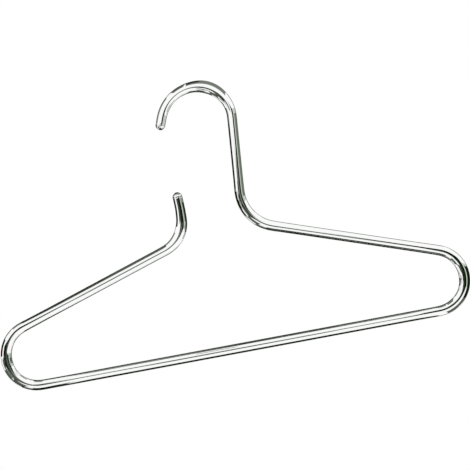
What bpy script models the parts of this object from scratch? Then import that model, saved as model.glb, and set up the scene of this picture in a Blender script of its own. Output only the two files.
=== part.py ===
"""A clothes hanger bent from one length of round metal tube, closed by a domed plug at each end.

The hanger is upright and flat in the XZ plane, with its bar along X. The origin is the top of the
hook's inside, where the hanger bears on a rail. Lengths are in metres and angles in radians.
"""
import bmesh
import bpy
from math import ceil, cos, pi, radians, sin, tan
from mathutils import Matrix, Vector

# Tube
TUBE_DIAMETER = 0.0085
TUBE_WALL = 0.0010

# Frame, with bend radii measured to the middle of the tube
HANGER_WIDTH = 0.4000
HANGER_HEIGHT = 0.2316
LOOP_BEND_RADIUS = 0.0259
RIGHT_SHOULDER_SLOPE = radians(18.9)
LEFT_SHOULDER_SLOPE = radians(17.7)

# Hook and neck: the hook is wider towards its mouth than towards its back
HOOK_MOUTH_RADIUS = 0.0323
HOOK_MOUTH_TURN = radians(70.2)
HOOK_BACK_RADIUS = 0.0281
NECK_LEAN = radians(4.8)
NECK_BEND_RADIUS = 0.0330

# Free arm: its corner is where the middle lines of the arm and the left shoulder would cross.
# Its end is turned a little away from the neck at a second corner, so that cloth slides over it.
ARM_CORNER_OFFSET = 0.0302
ARM_RISE = 0.0409
ARM_LEAN = radians(2.5)
ARM_BEND_RADIUS = 0.0270
ARM_END_LENGTH = 0.0140
ARM_END_TURN = radians(5.0)
ARM_END_BEND_RADIUS = 0.0600

# End plugs
PLUG_RIM = 0.0006
PLUG_DOME = 0.0038
PLUG_SHANK = 0.0050
PLUG_CHAMFER = 0.0006
PLUG_GAP = 0.0003
DOME_FULLNESS = 1.8

# Facets
TUBE_SIDES = 20
DOME_ROWS = 6
BEND_STEP = radians(9.0)
MERGE_DISTANCE = 0.00001

# Sizes that follow
TUBE_RADIUS = TUBE_DIAMETER / 2
BORE_RADIUS = TUBE_RADIUS - TUBE_WALL
PLUG_HEAD = PLUG_GAP + PLUG_RIM + PLUG_DOME
PLUG_LEAD = PLUG_SHANK + PLUG_GAP
QUARTER = pi / 2

METAL_COLOUR = (0.80, 0.81, 0.80, 1.0)
PLUG_COLOUR = (0.77, 0.78, 0.77, 1.0)


def heading(angle):
    """Unit vector in the hanger's plane that rises by an angle from +X."""
    return Vector((cos(angle), 0.0, sin(angle)))


def crossing(point, along, other, other_along):
    """The place where two lines of the hanger's plane cross."""
    gap = other - point
    reach = gap.cross(other_along).y / along.cross(other_along).y
    return point + reach * along


def bend_table():
    """The tube's start, its first heading, and rows of (straight, bend radius, turn).

    The rows are what a tube bender is set to, hook end first. A turn is positive where the tube
    turns from +X towards +Z. A straight between two corners is their distance, less what the
    bends there take up, and the hook end has a straight lead that takes its plug.
    """
    crown = Vector((0.0, 0.0, TUBE_RADIUS))
    underside = TUBE_DIAMETER - HANGER_HEIGHT
    loop_height = underside + TUBE_RADIUS + LOOP_BEND_RADIUS
    loop_offset = HANGER_WIDTH / 2 - TUBE_RADIUS - LOOP_BEND_RADIUS
    right_loop = Vector((loop_offset, 0.0, loop_height))
    left_loop = Vector((-loop_offset, 0.0, loop_height))

    mouth_centre = crown - Vector((0.0, 0.0, HOOK_MOUTH_RADIUS))
    back_centre = crown - Vector((0.0, 0.0, HOOK_BACK_RADIUS))
    mouth_end = mouth_centre + HOOK_MOUTH_RADIUS * heading(QUARTER + HOOK_MOUTH_TURN)
    start = mouth_end - PLUG_LEAD * heading(HOOK_MOUTH_TURN)
    neck_top = back_centre + HOOK_BACK_RADIUS * heading(-NECK_LEAN)
    neck_down = heading(-QUARTER - NECK_LEAN)

    right_foot = right_loop + LOOP_BEND_RADIUS * heading(QUARTER - RIGHT_SHOULDER_SLOPE)
    neck_turn = QUARTER + NECK_LEAN - RIGHT_SHOULDER_SLOPE
    neck_take = NECK_BEND_RADIUS * tan(neck_turn / 2)
    neck_corner = crossing(neck_top, neck_down, right_foot, heading(-RIGHT_SHOULDER_SLOPE))

    left_foot = left_loop + LOOP_BEND_RADIUS * heading(QUARTER + LEFT_SHOULDER_SLOPE)
    arm_turn = QUARTER - ARM_LEAN - LEFT_SHOULDER_SLOPE
    arm_take = ARM_BEND_RADIUS * tan(arm_turn / 2)
    arm_line = Vector((-ARM_CORNER_OFFSET, 0.0, 0.0))
    arm_corner = crossing(left_foot, heading(LEFT_SHOULDER_SLOPE), arm_line, heading(QUARTER))
    end_take = ARM_END_BEND_RADIUS * tan(ARM_END_TURN / 2)

    rows = [
        (PLUG_LEAD, HOOK_MOUTH_RADIUS, -HOOK_MOUTH_TURN),
        (0.0, HOOK_BACK_RADIUS, -QUARTER - NECK_LEAN),
        ((neck_corner - neck_top).length - neck_take, NECK_BEND_RADIUS, neck_turn),
        ((right_foot - neck_corner).length - neck_take, LOOP_BEND_RADIUS, RIGHT_SHOULDER_SLOPE - pi),
        (2 * loop_offset, LOOP_BEND_RADIUS, LEFT_SHOULDER_SLOPE - pi),
        ((arm_corner - left_foot).length - arm_take, ARM_BEND_RADIUS, arm_turn),
        (ARM_RISE - ARM_END_LENGTH - arm_take - end_take, ARM_END_BEND_RADIUS, ARM_END_TURN),
        (ARM_END_LENGTH - end_take - PLUG_HEAD, 0.0, 0.0),
    ]
    return start, HOOK_MOUTH_TURN, rows


def parts_of(faces):
    """A band of faces with its edges and corners, each listed once."""
    edges = dict.fromkeys(edge for face in faces for edge in face.edges)
    corners = dict.fromkeys(corner for face in faces for corner in face.verts)
    return list(faces) + list(edges) + list(corners)


def cut_end(mesh, place, angle):
    """The tube's ring-shaped end face, square to a heading."""
    stand = Matrix.Translation(place) @ Matrix.Rotation(QUARTER - angle, 4, "Y")
    outer, bore = [bmesh.ops.create_circle(mesh, segments=TUBE_SIDES, radius=radius, matrix=stand)["verts"]
                   for radius in (TUBE_RADIUS, BORE_RADIUS)]
    return [mesh.faces.new((outer[side - 1], outer[side], bore[side], bore[side - 1]))
            for side in range(TUBE_SIDES)]


def draw_out(mesh, faces, move):
    """Carries the end face straight ahead, leaving the tube's wall behind it."""
    grown = bmesh.ops.extrude_face_region(mesh, geom=parts_of(faces))["geom"]
    corners = [item for item in grown if isinstance(item, bmesh.types.BMVert)]
    bmesh.ops.translate(mesh, verts=corners, vec=move)
    return [item for item in grown if isinstance(item, bmesh.types.BMFace)]


def bend_round(mesh, faces, centre, turn):
    """Carries the end face round a bend's centre, leaving the tube's wall behind it."""
    steps = ceil(abs(turn) / BEND_STEP)
    spun = bmesh.ops.spin(mesh, geom=parts_of(faces), cent=centre, axis=(0.0, -1.0, 0.0),
                          angle=turn, steps=steps, use_duplicate=False)
    return [item for item in spun["geom_last"] if isinstance(item, bmesh.types.BMFace)]


def bent_tube():
    """The tube's closed mesh, with the place and outward heading of each of its two ends."""
    start, angle, rows = bend_table()
    mesh = bmesh.new()
    place = start
    end_face = cut_end(mesh, place, angle)
    for straight, radius, turn in rows:
        if straight:
            end_face = draw_out(mesh, end_face, straight * heading(angle))
            place = place + straight * heading(angle)
        if radius:
            side = radius if turn > 0 else -radius
            centre = place + side * heading(angle + QUARTER)
            end_face = bend_round(mesh, end_face, centre, turn)
            angle += turn
            place = centre - side * heading(angle + QUARTER)
    ends = [(start, HOOK_MOUTH_TURN + pi), (place, angle)]
    return mesh, ends


def plug():
    """A turned plug on the Z axis, with the tube's end face at the origin and its dome upwards."""
    shank_radius = BORE_RADIUS - PLUG_GAP
    outline = [
        (0.0, -PLUG_SHANK),
        (shank_radius - PLUG_CHAMFER, -PLUG_SHANK),
        (shank_radius, PLUG_CHAMFER - PLUG_SHANK),
        (shank_radius, PLUG_GAP),
        (TUBE_RADIUS, PLUG_GAP),
    ]
    for row in range(DOME_ROWS + 1):
        angle = QUARTER * row / DOME_ROWS
        reach_share = cos(angle) ** (2 / DOME_FULLNESS)
        rise_share = sin(angle) ** (2 / DOME_FULLNESS)
        outline.append((TUBE_RADIUS * reach_share, PLUG_GAP + PLUG_RIM + PLUG_DOME * rise_share))
    mesh = bmesh.new()
    corners = [mesh.verts.new((reach, 0.0, height)) for reach, height in outline]
    edges = [mesh.edges.new(pair) for pair in zip(corners, corners[1:])]
    bmesh.ops.spin(mesh, geom=corners + edges, cent=(0.0, 0.0, 0.0), axis=(0.0, 0.0, 1.0),
                   angle=2 * pi, steps=TUBE_SIDES, use_merge=True, use_duplicate=False)
    bmesh.ops.remove_doubles(mesh, verts=mesh.verts, dist=MERGE_DISTANCE)
    return mesh


def metal(name, colour, roughness):
    """A polished metal finish."""
    finish = bpy.data.materials.new(name)
    finish.use_nodes = True
    shader = finish.node_tree.nodes["Principled BSDF"]
    shader.inputs["Base Color"].default_value = colour
    shader.inputs["Roughness"].default_value = roughness
    shader.inputs["Metallic"].default_value = 1.0
    return finish


def piece(name, mesh, finish, parent):
    """An object made from a finished mesh, shaded smooth but for its real edges."""
    bmesh.ops.recalc_face_normals(mesh, faces=mesh.faces)
    data = bpy.data.meshes.new(name)
    mesh.to_mesh(data)
    mesh.free()
    data.shade_smooth()
    data.set_sharp_from_angle(angle=radians(35.0))
    data.materials.append(finish)
    made = bpy.data.objects.new(name, data)
    made.parent = parent
    bpy.context.scene.collection.objects.link(made)
    return made


def build():
    """Makes the hanger's three pieces under one empty."""
    for old in list(bpy.data.objects):
        bpy.data.objects.remove(old, do_unlink=True)
    hanger = bpy.data.objects.new("hanger", None)
    bpy.context.scene.collection.objects.link(hanger)

    mesh, ends = bent_tube()
    piece("bent_tube", mesh, metal("polished_tube", METAL_COLOUR, 0.10), hanger)
    plug_finish = metal("polished_plug", PLUG_COLOUR, 0.14)
    for name, (place, angle) in zip(("hook_end_plug", "arm_end_plug"), ends):
        fitted = piece(name, plug(), plug_finish, hanger)
        fitted.location = place
        fitted.rotation_euler = (0.0, QUARTER - angle, 0.0)


build()
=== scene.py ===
# %% [markdown]
# # A clothes hanger bent from one steel tube
#
# The real hanger is a single length of round, polished tube. A tube bender has turned it in one plane:
# over the hook, at the foot of the neck, round both end loops, at the foot of the free arm and, by a
# few degrees, at that arm's end. A domed plug closes each of its two ends. Nothing else is on it, so its
# whole look is in the run of the tube, in how the bends melt into the straights, and in what the polish
# mirrors.
#
# The plain solids come in first, already in place and in metres: the top of the hook's inside is the
# origin, the bar lies along X, and the hanger is flat in the XZ plane.

# %% Load the plain solids
from math import pi, radians

import bpy
import numpy as np
from mathutils import Matrix, Vector


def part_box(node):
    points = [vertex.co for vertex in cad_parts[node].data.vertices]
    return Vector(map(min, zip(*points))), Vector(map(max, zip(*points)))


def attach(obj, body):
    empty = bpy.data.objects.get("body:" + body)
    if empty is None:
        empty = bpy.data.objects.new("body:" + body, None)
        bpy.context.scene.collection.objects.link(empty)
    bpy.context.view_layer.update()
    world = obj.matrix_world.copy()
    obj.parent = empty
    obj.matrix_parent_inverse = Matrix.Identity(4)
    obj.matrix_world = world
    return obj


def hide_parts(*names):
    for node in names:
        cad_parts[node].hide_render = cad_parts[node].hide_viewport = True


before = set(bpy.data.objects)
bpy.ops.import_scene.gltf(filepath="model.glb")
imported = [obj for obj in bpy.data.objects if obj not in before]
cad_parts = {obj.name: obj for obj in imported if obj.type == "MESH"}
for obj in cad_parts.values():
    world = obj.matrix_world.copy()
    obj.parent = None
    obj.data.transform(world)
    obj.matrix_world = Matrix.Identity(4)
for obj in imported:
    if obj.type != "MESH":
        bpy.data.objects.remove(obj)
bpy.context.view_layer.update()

print("plain solids:", ", ".join(sorted(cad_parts)))

# %% [markdown]
# ## Sizes to start from
#
# A hanger is set out from a few sizes that could be measured on a real one: how wide and high it is, how
# steep its shoulders are, and which die made each bend. Bend radii are measured to the middle of the
# tube. The arm's corner is where its middle line and that of the left shoulder would cross, to the left
# of the hook's top. The arm's rise is the way from that corner to the arm's tip. The last part of that
# way is the end's length, which starts at a second corner, where the arm is turned outwards.

# %% Driving dimensions
MM = 0.001
TUBE_RADIUS = 4.25 * MM
BORE_RADIUS = 3.25 * MM
HANGER_WIDTH = 400.0 * MM
HANGER_HEIGHT = 231.6 * MM
LOOP_RADIUS = 25.9 * MM
RIGHT_SLOPE = radians(18.9)
LEFT_SLOPE = radians(17.7)
HOOK_MOUTH_RADIUS = 32.3 * MM
HOOK_MOUTH_TURN = radians(70.2)
HOOK_BACK_RADIUS = 28.1 * MM
NECK_LEAN = radians(4.8)
NECK_RADIUS = 33.0 * MM
ARM_CORNER_OFFSET = 30.2 * MM
ARM_RISE = 40.9 * MM
ARM_LEAN = radians(2.5)
ARM_RADIUS = 27.0 * MM
ARM_END_LENGTH = 14.0 * MM
ARM_END_TURN = radians(5.0)
ARM_END_RADIUS = 60.0 * MM
SHANK_LENGTH = 5.0 * MM
PLUG_GAP = 0.3 * MM
PLUG_RIM = 0.6 * MM
PLUG_DOME = 3.8 * MM
print(f"{HANGER_WIDTH / MM:.0f} mm wide, {HANGER_HEIGHT / MM:.1f} mm high")

# %% [markdown]
# ## Corners and feet
#
# The end loops sit in the lower corners of the hanger's box, and the hook's crown on the rail, so their
# places are known. The shoulders start where they touch the loops, at their feet. The neck and the arm
# meet the shoulders at corners: the places where their middle lines would cross if nothing was bent.

# %% Where the middle lines meet


def unit(angle):
    """The unit vector of an angle in the hanger's plane: its cosine in X and its sine in Z."""
    return np.array([np.cos(angle), np.sin(angle)])


def crossing(point, angle, other, other_angle):
    """Where two lines cross: the first point, moved along its line by its distance from the second line
    divided by how much of that distance each step takes away."""
    square = unit(other_angle + pi / 2)
    return point + unit(angle) * ((other - point) @ square) / (unit(angle) @ square)


loop_x = HANGER_WIDTH / 2 - TUBE_RADIUS - LOOP_RADIUS
loop_z = 3 * TUBE_RADIUS + LOOP_RADIUS - HANGER_HEIGHT
right_foot = np.array([loop_x, loop_z]) + LOOP_RADIUS * unit(pi / 2 - RIGHT_SLOPE)
left_foot = np.array([-loop_x, loop_z]) + LOOP_RADIUS * unit(pi / 2 + LEFT_SLOPE)
mouth_middle = np.array([0.0, TUBE_RADIUS - HOOK_MOUTH_RADIUS])
back_middle = np.array([0.0, TUBE_RADIUS - HOOK_BACK_RADIUS])
mouth_end = mouth_middle + HOOK_MOUTH_RADIUS * unit(pi / 2 + HOOK_MOUTH_TURN)
neck_top = back_middle + HOOK_BACK_RADIUS * unit(-NECK_LEAN)
neck_corner = crossing(neck_top, -pi / 2 - NECK_LEAN, right_foot, -RIGHT_SLOPE)
arm_corner = crossing(left_foot, LEFT_SLOPE, np.array([-ARM_CORNER_OFFSET, 0.0]), pi / 2)
for name, spot in (("neck corner", neck_corner), ("arm corner", arm_corner)):
    print(f"{name} at ({spot[0] / MM:.2f}, {spot[1] / MM:.2f}) mm")

# %% [markdown]
# ## Where the tube runs
#
# A tube bender works from a table: feed a straight length, then turn the tube round a die of a given
# radius by a given angle. The same table makes a good path for a model, because every straight and
# every bend follows from a size that someone can read and change. A curve object with handles would
# also do, but its bends would not be true arcs, and mirrored streaks show that at once.
#
# Each row has a straight, a bend radius and a turn. A positive turn goes from +X towards +Z. A bend
# takes up some of the straights at its corner, on each side its radius times the tangent of half its
# turn.

# %% The bender's table
PLUG_LEAD = SHANK_LENGTH + PLUG_GAP
PLUG_HEAD = PLUG_GAP + PLUG_RIM + PLUG_DOME
HOOK_START = mouth_end - PLUG_LEAD * unit(HOOK_MOUTH_TURN)
neck_turn = pi / 2 + NECK_LEAN - RIGHT_SLOPE
arm_turn = pi / 2 - ARM_LEAN - LEFT_SLOPE
neck_take = NECK_RADIUS * np.tan(neck_turn / 2)
arm_take = ARM_RADIUS * np.tan(arm_turn / 2)
end_take = ARM_END_RADIUS * np.tan(ARM_END_TURN / 2)
neck_straight = np.hypot(*(neck_corner - neck_top)) - neck_take
right_straight = np.hypot(*(right_foot - neck_corner)) - neck_take
left_straight = np.hypot(*(arm_corner - left_foot)) - arm_take
arm_straight = ARM_RISE - ARM_END_LENGTH - arm_take - end_take
end_straight = ARM_END_LENGTH - end_take - PLUG_HEAD
BENDER_TABLE = [
    (PLUG_LEAD, HOOK_MOUTH_RADIUS, -HOOK_MOUTH_TURN),      # the hook from its mouth to its crown
    (0.0, HOOK_BACK_RADIUS, -pi / 2 - NECK_LEAN),          # the hook's back, down to the leaning neck
    (neck_straight, NECK_RADIUS, neck_turn),               # the neck and the bend at its foot
    (right_straight, LOOP_RADIUS, RIGHT_SLOPE - pi),       # the right shoulder and the right end loop
    (2 * loop_x, LOOP_RADIUS, LEFT_SLOPE - pi),            # the bar and the left end loop
    (left_straight, ARM_RADIUS, arm_turn),                 # the left shoulder and the arm's foot
    (arm_straight, ARM_END_RADIUS, ARM_END_TURN),          # the free arm, turned a little outwards
    (end_straight, 0.0, 0.0),                              # that end, long enough for its plug
]

stops, headings = [0.0], [HOOK_MOUTH_TURN]
for straight, radius, turn in BENDER_TABLE:
    stops += [stops[-1] + straight, stops[-1] + straight + radius * abs(turn)]
    headings += [headings[-1], headings[-1] + turn]
TUBE_LENGTH = stops[-1]
print(f"tube length {TUBE_LENGTH / MM:.1f} mm, {len(BENDER_TABLE) - 1} bends")

# %% [markdown]
# ## From the table to a path
#
# The heading changes evenly in a bend and stays the same in a straight. Metal doesn't start to bend all
# at once, so the heading used at a point is its mean over the few millimetres round that point, which
# rounds off the places where a straight meets a bend. Adding up cosine and sine of the heading along
# the tube gives the place. It is all done on one fine row of stations, and read from there later.

# %% Stations along the tube
EASING = 3.5 * MM
STATION_STEP = 0.05 * MM


def running_sum(values, step):
    """The area under evenly spaced values up to each: half of each pair's sum times the step, summed."""
    return np.concatenate([[0.0], np.cumsum((values[1:] + values[:-1]) / 2 * step)])


def eased_headings(stations):
    """The mean heading from EASING before each station to EASING after it: the difference of two running
    sums, divided by the length between them."""
    wide = np.arange(-2 * EASING, TUBE_LENGTH + 2 * EASING, STATION_STEP)
    total = running_sum(np.interp(wide, stops, headings), STATION_STEP)
    ahead, behind = (np.interp(stations + reach, wide, total) for reach in (EASING, -EASING))
    return (ahead - behind) / (2 * EASING)


station = np.linspace(0.0, TUBE_LENGTH, int(TUBE_LENGTH / STATION_STEP) + 1)
station_step = station[1]
heading = eased_headings(station)
run_x = HOOK_START[0] + running_sum(np.cos(heading), station_step)
run_z = HOOK_START[1] + running_sum(np.sin(heading), station_step)


def on_path(s):
    """Place and heading at lengths s along the tube, which is straight past its ends."""
    inside = np.clip(s, 0.0, TUBE_LENGTH)
    angle = np.interp(inside, station, heading)
    x = np.interp(inside, station, run_x) + (s - inside) * np.cos(angle)
    z = np.interp(inside, station, run_z) + (s - inside) * np.sin(angle)
    return x, z, angle


for name, end in (("hook_end_plug", 0.0), ("arm_end_plug", TUBE_LENGTH)):
    low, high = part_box(name)
    x, z, _ = on_path(end)
    print(f"{name}: tube end at ({x / MM:.2f}, {z / MM:.2f}) mm, plug's box"
          f" x {low.x / MM:.1f} to {high.x / MM:.1f}, z {low.z / MM:.1f} to {high.z / MM:.1f}")

# %% [markdown]
# ## A profile carried along the path
#
# The tube and its plugs are both round about the path, so one function makes them all. It takes a
# list of points (length along the tube, distance from its middle) and turns each into a ring of
# points square to the path.
#
# A bending die that grips a tube from front and back leaves it flatter there, and wider in the plane of
# the bend. On the real hanger the second shows at once: seen square on, the tube is thicker in its
# bends, and most just past the hook's top. Here each such place is a bell curve along the tube, with its
# middle, its reach and its height as a share of the tube's width.
#
# Each point also keeps its place in the tube as it was before bending. The finish reads that, so drawn
# lines and scratches follow the tube round its bends and have no seam.

# %% Rings of points along the path
SIDES = 64
PRESSED = [            # middle and reach in mm from the hook's end, and how much wider the tube is there
    (58, 15, 0.25),    # past the hook's top, in its tighter back
    (176, 22, 0.08),   # the foot of the neck
    (376, 34, 0.12),   # the right end loop
    (788, 34, 0.12),   # the left end loop
    (981, 14, 0.17),   # the foot of the arm
]
FLATTENED = 0.5        # how much flatter it is, as a share of how much wider


def widening(s):
    """The sum, over the pressed places, of the height times e to the minus square of (distance from the
    place's middle / its reach)."""
    return sum(share * np.exp(-((s / MM - middle) / reach) ** 2) for middle, reach, share in PRESSED)


def carried(profile):
    """Rings of points for a profile of (length, reach). A point is its station on the path, plus the
    reach times the cosine of its angle to the tube's left, plus the reach times the sine of its angle
    towards -Y. Where the tube is pressed, the first is made longer and the second shorter. Returns the
    points and their places before bending, both as (ring, side, 3)."""
    s, reach = np.array(profile, float).T[:, :, None]
    around = np.linspace(0.0, 2 * pi, SIDES, endpoint=False)[None, :]
    x, z, angle = on_path(s)
    left = reach * (1 + widening(s)) * np.cos(around)
    front = reach * (1 - FLATTENED * widening(s)) * np.sin(around)
    points = np.stack([x - left * np.sin(angle), -front, z + left * np.cos(angle)], axis=2)
    unbent = np.stack([reach * np.cos(around), reach * np.sin(around), s + 0 * around], axis=2)
    return points, unbent


def ring_faces(rings, closed):
    """Four-sided faces between neighbouring rings, and from the last ring to the first if closed."""
    grid = np.arange(rings * SIDES).reshape(rings, SIDES)
    ahead = np.roll(grid, -1, axis=0)
    faces = np.stack([grid, np.roll(grid, -1, axis=1), np.roll(ahead, -1, axis=1), ahead], axis=2)
    return faces if closed else faces[:-1]


def signed_volume(points, faces):
    """A sixth of the sum of each triangle's corner products: positive if a closed skin faces outwards."""
    a, b, c = (points[faces[:, i]] for i in range(3))
    return float(np.einsum("ij,ij->i", a, np.cross(b, c)).sum() / 6)


# %% [markdown]
# ## The skin as a mesh
#
# The tube's skin closes on itself in both directions, like a very long tyre: out along the outside,
# over one rounded end, back through the bore and over the other end. A plug's skin closes in a single
# point at each end of its axis. A fan of triangles round a shared point keeps such a pole closed.

# %% Meshes from rings


def skin_object(name, profile):
    """A closed mesh from a profile. If its first and last reach are zero they become poles, otherwise
    the last ring is joined to the first."""
    poles = profile[0][1] == 0.0
    points, unbent = carried(profile[1:-1] if poles else profile)
    quads = ring_faces(len(points), closed=not poles).reshape(-1, 4)
    points, unbent = points.reshape(-1, 3), unbent.reshape(-1, 3)
    triangles = np.concatenate([quads[:, [0, 1, 2]], quads[:, [0, 2, 3]]])
    if poles:
        tips, tips_unbent = (part[:, 0] for part in carried([profile[0], profile[-1]]))
        first, last = len(points), len(points) + 1
        ring = np.arange(SIDES)
        low = np.stack([np.full(SIDES, first), np.roll(ring, -1), ring], axis=1)
        high = np.stack([np.full(SIDES, last), ring, np.roll(ring, -1)], axis=1)
        high[:, 1:] += first - SIDES
        points, unbent = np.vstack([points, tips]), np.vstack([unbent, tips_unbent])
        triangles = np.vstack([triangles, low, high])
    faces = [*quads.tolist(), *(np.vstack([low, high]).tolist() if poles else [])]
    volume = signed_volume(points, triangles)
    if volume < 0:
        faces = [face[::-1] for face in faces]
    mesh = bpy.data.meshes.new(name)
    mesh.from_pydata(points.tolist(), [], faces)
    mesh.attributes.new("unbent", "FLOAT_VECTOR", "POINT").data.foreach_set("vector", unbent.ravel())
    mesh.shade_smooth()
    mesh.validate()
    made = bpy.data.objects.new(name, mesh)
    bpy.context.scene.collection.objects.link(made)
    print(f"{name}: {len(points)} points, {len(triangles)} triangles, {abs(volume) * 1e6:.3f} cm3")
    return made


# %% [markdown]
# ## The tube
#
# A mirror shows every facet, so the outside has a ring on each millimetre, also where the tube is
# straight. The bore is hidden by the plugs, so its rings are further apart. The cut ends were rounded
# on a deburring wheel: a quarter circle from the outside to the end face, and another into the bore.

# %% Profile of the tube
RING_STEP = 1.0 * MM
BORE_STEP = 9.0 * MM
END_ROUND = 0.12 * MM
END_POINTS = 7
BORE_ROUND = 0.12 * MM
BORE_POINTS = 4


def spread(first, last, step):
    """Evenly spaced stations from first to last, about a step apart."""
    return np.linspace(first, last, int((last - first) / step) + 1)


def rounded(middle_s, middle_r, size, start, stop, count):
    """Points of an arc: its middle plus size times cosine and sine of an angle from start to stop."""
    angle = np.radians(np.linspace(start, stop, count))
    return list(zip(middle_s + size * np.cos(angle), middle_r + size * np.sin(angle)))


def tube_profile():
    """The outside from hook to arm, the arm's cut end, the bore back again, and the hook's cut end."""
    outside = [(s, TUBE_RADIUS) for s in spread(END_ROUND, TUBE_LENGTH - END_ROUND, RING_STEP)]
    bore = [(s, BORE_RADIUS) for s in spread(BORE_ROUND, TUBE_LENGTH - BORE_ROUND, BORE_STEP)[::-1]]
    arm_cut = rounded(TUBE_LENGTH - END_ROUND, TUBE_RADIUS - END_ROUND, END_ROUND, 90, 0, END_POINTS)[1:] \
        + rounded(TUBE_LENGTH - BORE_ROUND, BORE_RADIUS + BORE_ROUND, BORE_ROUND, 0, -90, BORE_POINTS)[:-1]
    hook_cut = rounded(BORE_ROUND, BORE_RADIUS + BORE_ROUND, BORE_ROUND, -90, -180, BORE_POINTS)[1:] \
        + rounded(END_ROUND, TUBE_RADIUS - END_ROUND, END_ROUND, 180, 90, END_POINTS)[:-1]
    return outside + arm_cut + bore + hook_cut


tube = skin_object("tube_skin", tube_profile())

# %% [markdown]
# ## The end plugs
#
# Both ends are closed by the same turned plug: a shank that stands in the bore with a little play, and
# a domed head as wide as the tube. The dome is a little lower than half a ball, and more pointed. The
# outline of a ball is a circle, where the squares of reach and rise add up to one. With a power of 1.8
# in place of 2 it comes out slightly conical. The head sits on the tube's end with a hairline between
# them, where both edges are rounded.

# %% Profile of a plug
PLUG_HAIRLINE = 0.04 * MM
PLUG_EDGE = 0.10 * MM
EDGE_POINTS = 6
DOME_START = PLUG_GAP + PLUG_RIM
DOME_POWER = 1.8
DOME_POINTS = 22
SHANK_RADIUS = BORE_RADIUS - PLUG_GAP
SHANK_CHAMFER = 0.6 * MM


def plug_profile():
    """(distance beyond the tube's end, reach), from the shank's foot to the dome's tip."""
    foot = [(-SHANK_LENGTH, 0.0), (-SHANK_LENGTH, SHANK_RADIUS - SHANK_CHAMFER)]
    shank = [(SHANK_CHAMFER - SHANK_LENGTH, SHANK_RADIUS), (PLUG_HAIRLINE, SHANK_RADIUS)]
    edge = rounded(PLUG_HAIRLINE + PLUG_EDGE, TUBE_RADIUS - PLUG_EDGE, PLUG_EDGE, 180, 90, EDGE_POINTS)
    angle = np.linspace(0.0, pi / 2, DOME_POINTS)
    rise = np.sin(angle) ** (2 / DOME_POWER) * PLUG_DOME + DOME_START
    reach = np.cos(angle) ** (2 / DOME_POWER) * TUBE_RADIUS
    reach[-1] = 0.0
    return foot + shank + edge + list(zip(rise, reach))


beyond_hook = [(-s, reach) for s, reach in plug_profile()]
beyond_arm = [(TUBE_LENGTH + s, reach) for s, reach in plug_profile()]
hook_plug = skin_object("hook_plug_skin", beyond_hook)
arm_plug = skin_object("arm_plug_skin", beyond_arm)

# %% [markdown]
# ## Writing a finish as arithmetic
#
# A finish is a small program of shader nodes, and wiring them one by one is slow to read. This class
# wraps a socket, so Python's own signs add the Math nodes: 1 - mask, or 0.05 + 0.1 * smudge. Colours
# and vectors need other nodes, because Math knows only single numbers, and one method adds those.

# %% Sockets with arithmetic


class Flow:
    """A value in a material's nodes. Signs on it add Math nodes."""

    def __init__(self, tree, socket=None):
        self.tree, self.socket = tree, socket

    def node(self, kind, settings=None, output=0, **inputs):
        """Adds a node of any kind and returns one of its outputs. Settings are set first. An input is
        given by its name, with _ for a space, or by its number, as in n0. It takes a value or a link."""
        made = self.tree.nodes.new(kind)
        for key, value in (settings or {}).items():
            setattr(made, key, value)
        for key, value in inputs.items():
            place = made.inputs[int(key[1:])] if key[1:].isdigit() else made.inputs[key.replace("_", " ")]
            if isinstance(value, Flow):
                self.tree.links.new(value.socket, place)
            else:
                place.default_value = value
        return Flow(self.tree, made.outputs[output])

    def math(self, operation, *values):
        """Adds a Math node that does this operation on these values."""
        inputs = {f"n{place}": value for place, value in enumerate(values)}
        return self.node("ShaderNodeMath", {"operation": operation}, **inputs)

    def __add__(self, other): return self.math("ADD", self, other)
    def __sub__(self, other): return self.math("SUBTRACT", self, other)
    def __mul__(self, other): return self.math("MULTIPLY", self, other)
    def __rsub__(self, other): return self.math("SUBTRACT", other, self)
    __radd__, __rmul__ = __add__, __mul__

    def into(self, shader, name):
        """Links this value to a shader's input."""
        self.tree.links.new(self.socket, shader.inputs[name])


def ramp(value, low, high):
    """0 at low and 1 at high, in a smooth step. Low may be the larger of the two."""
    return value.node("ShaderNodeMapRange", {"interpolation_type": "SMOOTHSTEP"},
                      Value=value, From_Min=low, From_Max=high)


def stretched(place, x, y, z):
    """The place times (x, y, z). A small factor makes a pattern long in that direction."""
    return place.node("ShaderNodeVectorMath", {"operation": "MULTIPLY"}, n0=place, n1=(x, y, z))


def from_axis(place):
    """Distance from the Z axis: the length of the place with its z taken away."""
    return place.node("ShaderNodeVectorMath", {"operation": "LENGTH"}, output=1,
                      n0=stretched(place, 1, 1, 0))


def noise(place, size, detail=2.0):
    """Soft random values about 0.5, with bumps about this far apart."""
    return place.node("ShaderNodeTexNoise", Vector=place, Scale=1.0 / size, Detail=detail)


# %% [markdown]
# ## Polished steel
#
# The real surface is bare steel with a mirror polish. Three kinds of marks lie in it. Drawing the tube
# through a die left fine lines along it, the polishing belt left finer ones round it, and the steel
# between them rises and falls by a few thousandths of a millimetre, which makes mirrored edges waver.
# Handling adds a thin film, seen as a slightly duller cloud here and there.
#
# The hook's inside rests on a rail. It is rubbed there, across the tube, to a matt patch. Coat shoulders
# and sleeves rub the outer side of both shoulders, much more softly.
#
# Every mark is a height or a roughness on the unbent tube, where z is the length from the hook's end and
# the outside of the frame is at positive x. So all marks are sized in millimetres of real tube.

# %% Marks on the steel
CROWN = stops[2]                           # the hook's top, where its first bend ends
RIGHT_SHOULDER = (stops[6], stops[7])
LEFT_SHOULDER = (stops[10], stops[11])


def between(value, low, high, edge):
    """1 from low to high and 0 outside, with soft edges: the product of a rising and a falling ramp."""
    return ramp(value, low - edge, low + edge) * ramp(value, high + edge, high - edge)


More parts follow.
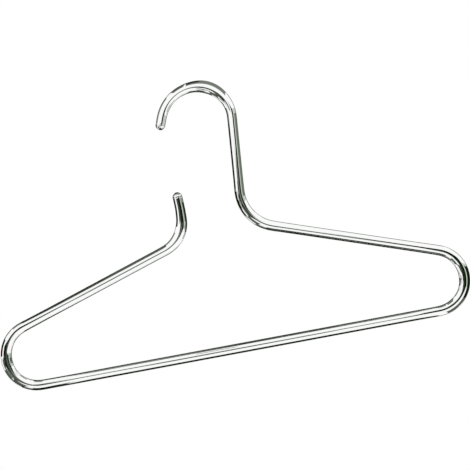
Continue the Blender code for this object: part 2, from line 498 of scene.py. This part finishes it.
def steel(name):
    """A bare metal finish: its material, its shader and the place on the unbent tube."""
    finish = bpy.data.materials.new(name)
    finish.use_nodes = True
    shader = finish.node_tree.nodes["Principled BSDF"]
    shader.inputs["Metallic"].default_value = 1.0
    place = Flow(finish.node_tree).node("ShaderNodeAttribute", {"attribute_name": "unbent"}, output=1)
    return finish, shader, place


def polished_tube():
    """The tube's finish. Its roughness is a base value plus the share of each mark in it, and its height
    is the sum of theirs."""
    finish, shader, place = steel("polished_tube")
    x = place.node("ShaderNodeSeparateXYZ", output=0, n0=place)
    z = place.node("ShaderNodeSeparateXYZ", output=2, n0=place)
    drawn = noise(stretched(place, 1, 1, 0.03), 0.35 * MM)
    belt = noise(stretched(place, 0.08, 0.08, 1), 0.25 * MM)
    waves = noise(stretched(place, 1, 1, 0.45), 9 * MM, 1.0)
    film = noise(place, 16 * MM, 3.0)
    rail_rub = between(z, CROWN - 11 * MM, CROWN + 11 * MM, 5 * MM) * ramp(x, -1.6 * MM, -3.6 * MM)
    rail_scratch = noise(stretched(place, 1, 0.06, 1), 0.30 * MM, 3.0)
    on_shoulders = between(z, *RIGHT_SHOULDER, 12 * MM) + between(z, *LEFT_SHOULDER, 12 * MM)
    cloth_rub = ramp(x, 0.5 * MM, 3.5 * MM) * on_shoulders

    roughness = 0.018 + 0.030 * ramp(film, 0.42, 0.72) + 0.012 * drawn + 0.010 * belt \
        + 0.025 * cloth_rub * film + rail_rub * (0.06 + 0.22 * ramp(rail_scratch, 0.35, 0.70))
    roughness.into(shader, "Roughness")
    height = 9e-6 * waves + 4e-7 * drawn + 2e-7 * belt + 1.5e-6 * (rail_rub * rail_scratch)
    place.node("ShaderNodeBump", Height=height, Distance=1.0, Strength=1.0).into(shader, "Normal")
    colour = place.node("ShaderNodeMix", {"data_type": "RGBA"}, output=2, n0=film,
                        n6=(0.955, 0.965, 0.965, 1.0), n7=(0.945, 0.950, 0.935, 1.0))
    colour.into(shader, "Base Color")
    return finish


tube.data.materials.append(polished_tube())
print(f"rail patch about {CROWN * 1000:.0f} mm from the hook's end")

# %% [markdown]
# ## Turned steel
#
# The plugs were turned on a lathe and polished less, so rings remain, about a sixth of a millimetre
# apart. A ring is a wave of the distance from the axis on the dome, and of the length on the rim.

# %% The plugs' finish
RING_PITCH = 0.16 * MM


def turned_plug():
    """The plugs' finish. Its rings are the sine of two pi times (reach + length) over their pitch, moved
    to and fro by a soft noise."""
    finish, shader, place = steel("turned_plug")
    reach = from_axis(place)
    z = place.node("ShaderNodeSeparateXYZ", output=2, n0=place)
    wander = noise(place, 1.5 * MM)
    rings = place.math("SINE", (reach + z) * (2 * pi / RING_PITCH) + 2.0 * wander)
    film = noise(place, 3 * MM, 3.0)
    (0.028 + 0.010 * rings + 0.04 * ramp(film, 0.45, 0.75)).into(shader, "Roughness")
    height = 2.5e-7 * rings + 1e-6 * wander
    place.node("ShaderNodeBump", Height=height, Distance=1.0).into(shader, "Normal")
    place.node("ShaderNodeMix", {"data_type": "RGBA"}, output=2, n0=film, n6=(0.950, 0.955, 0.950, 1.0),
               n7=(0.930, 0.935, 0.920, 1.0)).into(shader, "Base Color")
    return finish


plug_finish = turned_plug()
for skin in (hook_plug, arm_plug):
    skin.data.materials.append(plug_finish)

# %% [markdown]
# ## Standing in for the solids
#
# Each skin now takes the place of its plain solid and rides on the hanger's one body.

# %% Each skin and its solid
for skin, node, slot in ((tube, "bent_tube", "tube_metal"), (hook_plug, "hook_end_plug", "plug_metal"),
                         (arm_plug, "arm_end_plug", "plug_metal")):
    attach(skin, "root")
    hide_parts(node)
    print(skin.name, "stands for", node)

# %% [markdown]
# ## What the polish mirrors
#
# Polished steel has hardly any look of its own: it shows its surroundings. In an all-white room it would
# vanish against the white. A studio puts black cards round such a piece, and the dark outlines and lines
# along the real hanger are those cards, with the white room between them. Across a round tube, the
# middle mirrors what is beside the camera, a point seven tenths of the way out mirrors what is straight
# to the side, and the rim mirrors what is behind.
#
# So each card is set from the band that it has to draw: where along the tube the band is, and between
# which two places across it. The middle of the tube is 0. Its edges are 1 on the left of the way from
# the hook's end to the arm's, and -1 on the right. These places were judged, and the mirror law
# turns them into the card's own place. A far card draws an even band along a whole straight, and a near
# one shows in little more than one bend.

# %% Where the black cards stand
BANDS = [   # mm along the tube, from share, to share, distance, half length, darkness
    (14, 0.65, 0.85, 0.40, 0.12, 0.8),      # hook's mouth: the line near its outer edge
    (50, -0.98, -0.85, 0.40, 0.12, 0.9),    # crown: the inner edge
    (56, 0.35, 0.93, 0.07, 0.06, 0.8),      # crown: the broad dark outer side
    (60, -0.92, -0.60, 3.00, 0.45, 0.9),    # hook's back and neck bend: the shade that crosses the tube,
    (67, -0.72, -0.35, 3.00, 0.45, 0.9),    # the same, further in
    (75, -0.42, -0.10, 3.00, 0.35, 0.9),    # the same, further in again
    (84, -0.28, -0.08, 3.00, 0.30, 0.9),    # the same, next to the middle
    (123, -0.92, -0.62, 0.80, 0.16, 1.0),   # neck: the left edge
    (123, 0.08, 0.32, 1.50, 0.35, 1.0),     # neck: the black line right of its middle
    (123, 0.32, 0.92, 3.00, 0.90, 0.4),     # neck: the light shade right of that line
    (123, -0.97, -0.84, 1.00, 0.70, 0.8),   # all round: the thin left edges
    (123, 0.84, 0.97, 1.00, 0.70, 0.8),     # all round: the thin right edges
    (268, -0.90, -0.50, 3.00, 0.45, 1.0),   # right shoulder: the black line on its lower side
    (367, -0.10, 0.24, 0.12, 0.03, 0.9),    # right loop, first half: the shade along its middle
    (377, 0.38, 0.88, 0.06, 0.04, 1.0),     # right loop: the broad dark outer side
    (393, 0.42, 0.85, 0.08, 0.05, 0.9),     # right loop, second half: the same, drawing in
    (580, -0.99, -0.58, 3.00, 0.50, 0.9),   # bar: the broad upper edge
    (580, -0.10, 0.06, 1.00, 0.30, 0.8),    # bar: the line along its middle
    (580, 0.62, 0.99, 3.00, 0.50, 1.0),     # bar: the black lower edge
    (580, -0.97, -0.84, 1.00, 0.70, 0.8),   # all round: the thin upper edges
    (580, 0.84, 0.97, 1.00, 0.70, 0.8),     # all round: the thin lower edges
    (776, 0.60, 0.85, 0.12, 0.05, 0.9),     # left loop, first half: the shade on its outer side
    (785, 0.40, 0.64, 0.12, 0.04, 0.9),     # left loop, halfway: the same, nearer to the middle
    (794, 0.22, 0.40, 0.20, 0.05, 1.0),     # the same, nearer still
    (792, -0.85, -0.50, 3.00, 0.35, 0.7),   # left loop: the shade on its inner side
    (806, 0.04, 0.22, 0.30, 0.07, 1.0),     # left loop, second half: the black line outside its middle
    (893, 0.48, 0.98, 3.00, 0.50, 0.9),     # left shoulder: the broad upper edge
    (893, -0.14, 0.00, 1.50, 0.15, 0.8),    # left shoulder: the line along its middle
    (992, -0.93, -0.60, 0.03, 0.02, 1.0),   # arm's foot: the black right edge
    (1003, -0.10, 0.06, 0.12, 0.02, 1.0),   # arm: the black line along its middle
    (1003, 0.76, 0.95, 0.30, 0.08, 0.9),    # arm: the left edge
]


def card_corners(place, first, last, distance, half_length):
    """Four corners: a point of the tube, plus the distance in the direction mirrored halfway between two
    places across it, plus or minus half the card's width, plus or minus its half length along the tube.

    A round tube mirrors, at a share of its half width from its middle, what stands at twice that share's
    arc sine from the line of sight. So the card's middle stands at the sum of the two arc sines, and half
    its width is the distance times the tangent of their difference."""
    x, z, angle = on_path(place * MM)
    along = np.array([np.cos(angle), 0.0, np.sin(angle)])
    left, front = np.array([-along[2], 0.0, along[0]]), np.array([0.0, -1.0, 0.0])
    low, high = np.arcsin([first, last])
    direction = np.sin(low + high) * left + np.cos(low + high) * front
    across = np.cos(low + high) * left - np.sin(low + high) * front
    middle = np.array([x, 0.0, z]) + distance * direction
    side, end = distance * np.tan(high - low) * across, half_length * along
    return [middle - side - end, middle + side - end, middle + side + end, middle - side + end]


corners = np.concatenate([card_corners(*band[:5]) for band in BANDS])
card_mesh = bpy.data.meshes.new("black_cards")
card_mesh.from_pydata(corners.tolist(), [], np.arange(len(corners)).reshape(-1, 4).tolist())
darkness = np.repeat([band[5] for band in BANDS], 4)
card_mesh.attributes.new("dark", "FLOAT", "POINT").data.foreach_set("value", darkness)
cards = bpy.data.objects.new("black_cards", card_mesh)
scene = bpy.context.scene
scene.collection.objects.link(cards)
nearest, *_, furthest = sorted(band[3] for band in BANDS)
print(f"{len(BANDS)} black cards, from {nearest} m to {furthest} m away")

# %% [markdown]
# ## Black card
#
# Only mirrored rays meet the cards, so they hide and darken nothing else: not the background, not the
# floor, not the lamps' light. A card is a mix of clear film with a green tint and nearly black paper,
# so the bands get the faint green that they have on the real hanger. Its darkness is the paper's share.

# %% The cards' finish
for ray in ("camera", "diffuse", "transmission", "volume_scatter", "shadow"):
    setattr(cards, f"visible_{ray}", False)
black = bpy.data.materials.new("black_card")
black.use_nodes = True
black.node_tree.nodes.remove(black.node_tree.nodes["Principled BSDF"])
dark = Flow(black.node_tree).node("ShaderNodeAttribute", {"attribute_name": "dark"}, output=2)
paper = dark.node("ShaderNodeEmission", Color=(0.006, 0.013, 0.004, 1.0), Strength=1.0)
film = dark.node("ShaderNodeBsdfTransparent", Color=(0.93, 1.0, 0.90, 1.0))
dark.node("ShaderNodeMixShader", n0=dark, n1=film, n2=paper) \
    .into(black.node_tree.nodes["Material Output"], "Surface")
card_mesh.materials.append(black)

# %% [markdown]
# ## A white room
#
# The background is white because the room is, at a strength of 1, and the steel mirrors that same
# white. Light that isn't mirrored is a little weaker, and soft lamps make up the rest, so that a
# surface of any colour renders about as it is written.

# %% World and lamps
world = bpy.data.worlds.new("white_room")
scene.world = world
world.use_nodes = True
room = Flow(world.node_tree)
background = world.node_tree.nodes["Background"]
path = world.node_tree.nodes.new("ShaderNodeLightPath").outputs
seen, mirrored, through = (Flow(world.node_tree, path[f"Is {kind} Ray"])
                           for kind in ("Camera", "Glossy", "Transmission"))
shown = seen + mirrored + through
room.node("ShaderNodeMix", {"data_type": "RGBA"}, output=2, n0=room.math("MINIMUM", shown, 1.0),
          n6=(0.62, 0.62, 0.62, 1.0), n7=(1.0, 1.0, 1.0, 1.0)).into(background, "Color")

HANGER_MIDDLE = Vector((0.0, 0.0, -0.11))


def soft_lamp(name, place, size, watts):
    """A square lamp at a place, facing the hanger's middle."""
    data = bpy.data.lights.new(name, "AREA")
    data.size, data.energy = size, watts
    lamp = bpy.data.objects.new(name, data)
    lamp.location = place
    lamp.rotation_mode = "QUATERNION"
    lamp.rotation_quaternion = (lamp.location - HANGER_MIDDLE).to_track_quat("Z", "Y")
    lamp.visible_glossy = False
    scene.collection.objects.link(lamp)
    print(f"{name}: {size} m wide, {watts} W")


soft_lamp("soft_lamp_left", (-1.2, -1.3, 1.6), 1.2, 14.0)
soft_lamp("soft_lamp_right", (1.5, -0.9, 1.2), 1.2, 8.0)

# %% [markdown]
# ## A pale floor
#
# The hanger hangs on nothing here, so the floor is well below it, under the picture's lower edge. From
# higher up it comes into view as a plain pale disc. It fades out towards its rim, because a hard edge
# against the white room would look like a table. Soft light leaves only a faint shadow on it.

# %% Floor
FLOOR_HEIGHT = -0.62
FLOOR_RADIUS = 1.3
SOLID_RADIUS = 0.4       # the floor is solid to here and fades out from here to its rim
RIM_POINTS = 96
spokes = np.linspace(0, 2 * pi, RIM_POINTS, endpoint=False)
round_x, round_y = FLOOR_RADIUS * np.cos(spokes), FLOOR_RADIUS * np.sin(spokes)
rim = np.stack([round_x, round_y, np.full(RIM_POINTS, FLOOR_HEIGHT)], axis=1)
floor_mesh = bpy.data.meshes.new("floor")
floor_mesh.from_pydata(rim.tolist(), [], [list(range(RIM_POINTS))])
floor = bpy.data.objects.new("floor", floor_mesh)
scene.collection.objects.link(floor)
floor.visible_glossy = False
paint = bpy.data.materials.new("pale_floor")
paint.use_nodes = True
nodes = paint.node_tree.nodes
shader = nodes["Principled BSDF"]
shader.inputs["Base Color"].default_value = (0.86, 0.86, 0.86, 1.0)
shader.inputs["Roughness"].default_value = 0.9
flow = Flow(paint.node_tree)
where = flow.node("ShaderNodeTexCoord", output=3)
solid = ramp(from_axis(where), FLOOR_RADIUS, SOLID_RADIUS)
mixed = solid.node("ShaderNodeMixShader", n0=solid, n1=solid.node("ShaderNodeBsdfTransparent"),
                   n2=Flow(paint.node_tree, shader.outputs[0]))
mixed.into(nodes["Material Output"], "Surface")
floor_mesh.materials.append(paint)
print(f"floor {abs(FLOOR_HEIGHT)} m below the hook's inside")

# %% [markdown]
# ## The camera
#
# The hanger was seen square on, and tilted in the picture, with the bar rising to the right. The
# camera looks along +Y and is rolled by that tilt. A long lens from well over a metre keeps the tube's
# straights parallel, and the picture's width at the hanger sets the focal length.

# %% Camera
PIXEL = 0.8415 * MM      # a pixel's width at the hanger
PIXELS_ACROSS = 470
PICTURE_WIDTH = PIXELS_ACROSS * PIXEL
CAMERA_DISTANCE = 1.60
CAMERA_RIGHT = 12.46 * MM
CAMERA_DOWN = 124.76 * MM
SENSOR_WIDTH = 36.0
TILT = radians(10.526)
lens = bpy.data.cameras.new("camera")
lens.sensor_width = SENSOR_WIDTH
lens.lens = SENSOR_WIDTH * CAMERA_DISTANCE / PICTURE_WIDTH
lens.clip_start = 0.05
camera = bpy.data.objects.new("camera", lens)
camera.location = (CAMERA_RIGHT, -CAMERA_DISTANCE, -CAMERA_DOWN)
camera.rotation_mode = "QUATERNION"
towards_y, roll = Matrix.Rotation(pi / 2, 3, "X"), Matrix.Rotation(-TILT, 3, "Z")
camera.rotation_quaternion = (towards_y @ roll).to_quaternion()
scene.collection.objects.link(camera)
scene.camera = camera
scene.view_settings.view_transform = "Standard"
print(f"lens {lens.lens:.0f} mm")
